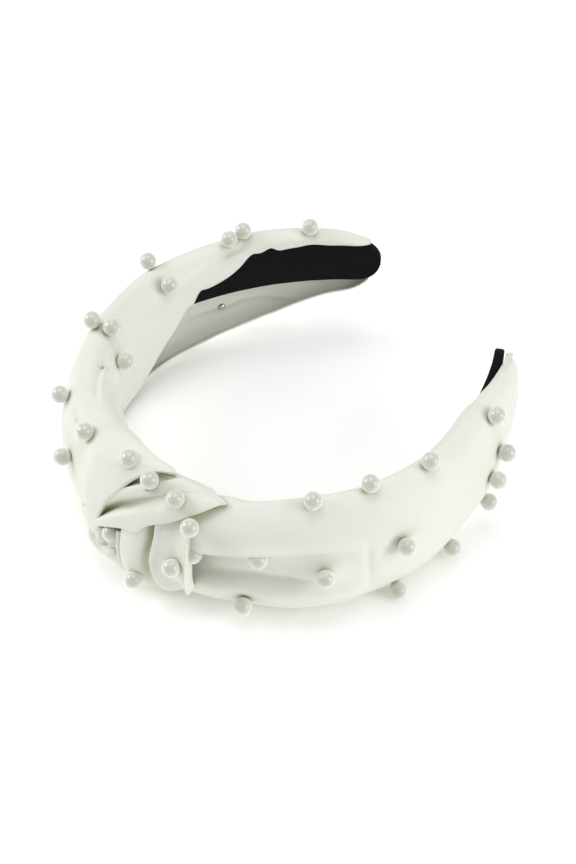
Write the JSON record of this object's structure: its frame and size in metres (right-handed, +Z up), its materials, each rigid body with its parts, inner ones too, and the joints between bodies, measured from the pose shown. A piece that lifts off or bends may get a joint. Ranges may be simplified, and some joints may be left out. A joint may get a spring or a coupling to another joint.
{
  "type": "headband",
  "caption": "Knotted satin head band on a sprung strip in a velvet sleeve, dotted with riveted faux pearls.",
  "frame": {"origin": "the middle of the band's bounding box, on the surface that the lower hem rests on", "axes": "+Z up off the surface, across the band's width; the crown of the band points to -Y and its two open tips to +Y; +X to the right of the crown seen from above with the tips at the top, on the side that the knot is on"},
  "size_m": [0.1581, 0.1542, 0.0527],
  "materials": {
    "ivory_satin": "soft satin weave, smooth, ivory",
    "black_velvet": "short black velvet pile",
    "core_plastic": "plain moulded strip",
    "faux_pearl": "nacre coat, soft sheen",
    "rivet_steel": "small polished domed heads",
    "ivory_thread": "sewing thread"
  },
  "bodies": {
    "crown": {"core_band": "core_plastic", "velvet_sleeve": "black_velvet", "knot_over_band": "ivory_satin", "knot_wrap_band": "ivory_satin", "knot_tuck": "ivory_satin", "knot_inner_wrap": "ivory_satin", "knot_stitches": "ivory_thread", "pearls_knot": "faux_pearl", "rivet_pins_knot": "rivet_steel"},
    "left_arm": {"cover_left": "ivory_satin", "pearls_left": "faux_pearl", "rivet_pins_left": "rivet_steel"},
    "right_arm": {"cover_right": "ivory_satin", "pearls_right": "faux_pearl", "rivet_pins_right": "rivet_steel"}
  },
  "joints": [
    {"name": "left_flex", "type": "hinge", "parent": "crown", "child": "left_arm", "pos_m": [-0.00444, -0.0593, 0.0325], "axis": [0, 0, 1], "range_deg": [-3, 10], "stiffness_Nm_per_rad": 1, "deforming": ["core_band", "velvet_sleeve"]},
    {"name": "right_flex", "type": "hinge", "parent": "crown", "child": "right_arm", "pos_m": [0.03156, -0.05057, 0.0325], "axis": [0, 0, -1], "range_deg": [-3, 10], "stiffness_Nm_per_rad": 1, "deforming": ["core_band", "velvet_sleeve"]}
  ]
}
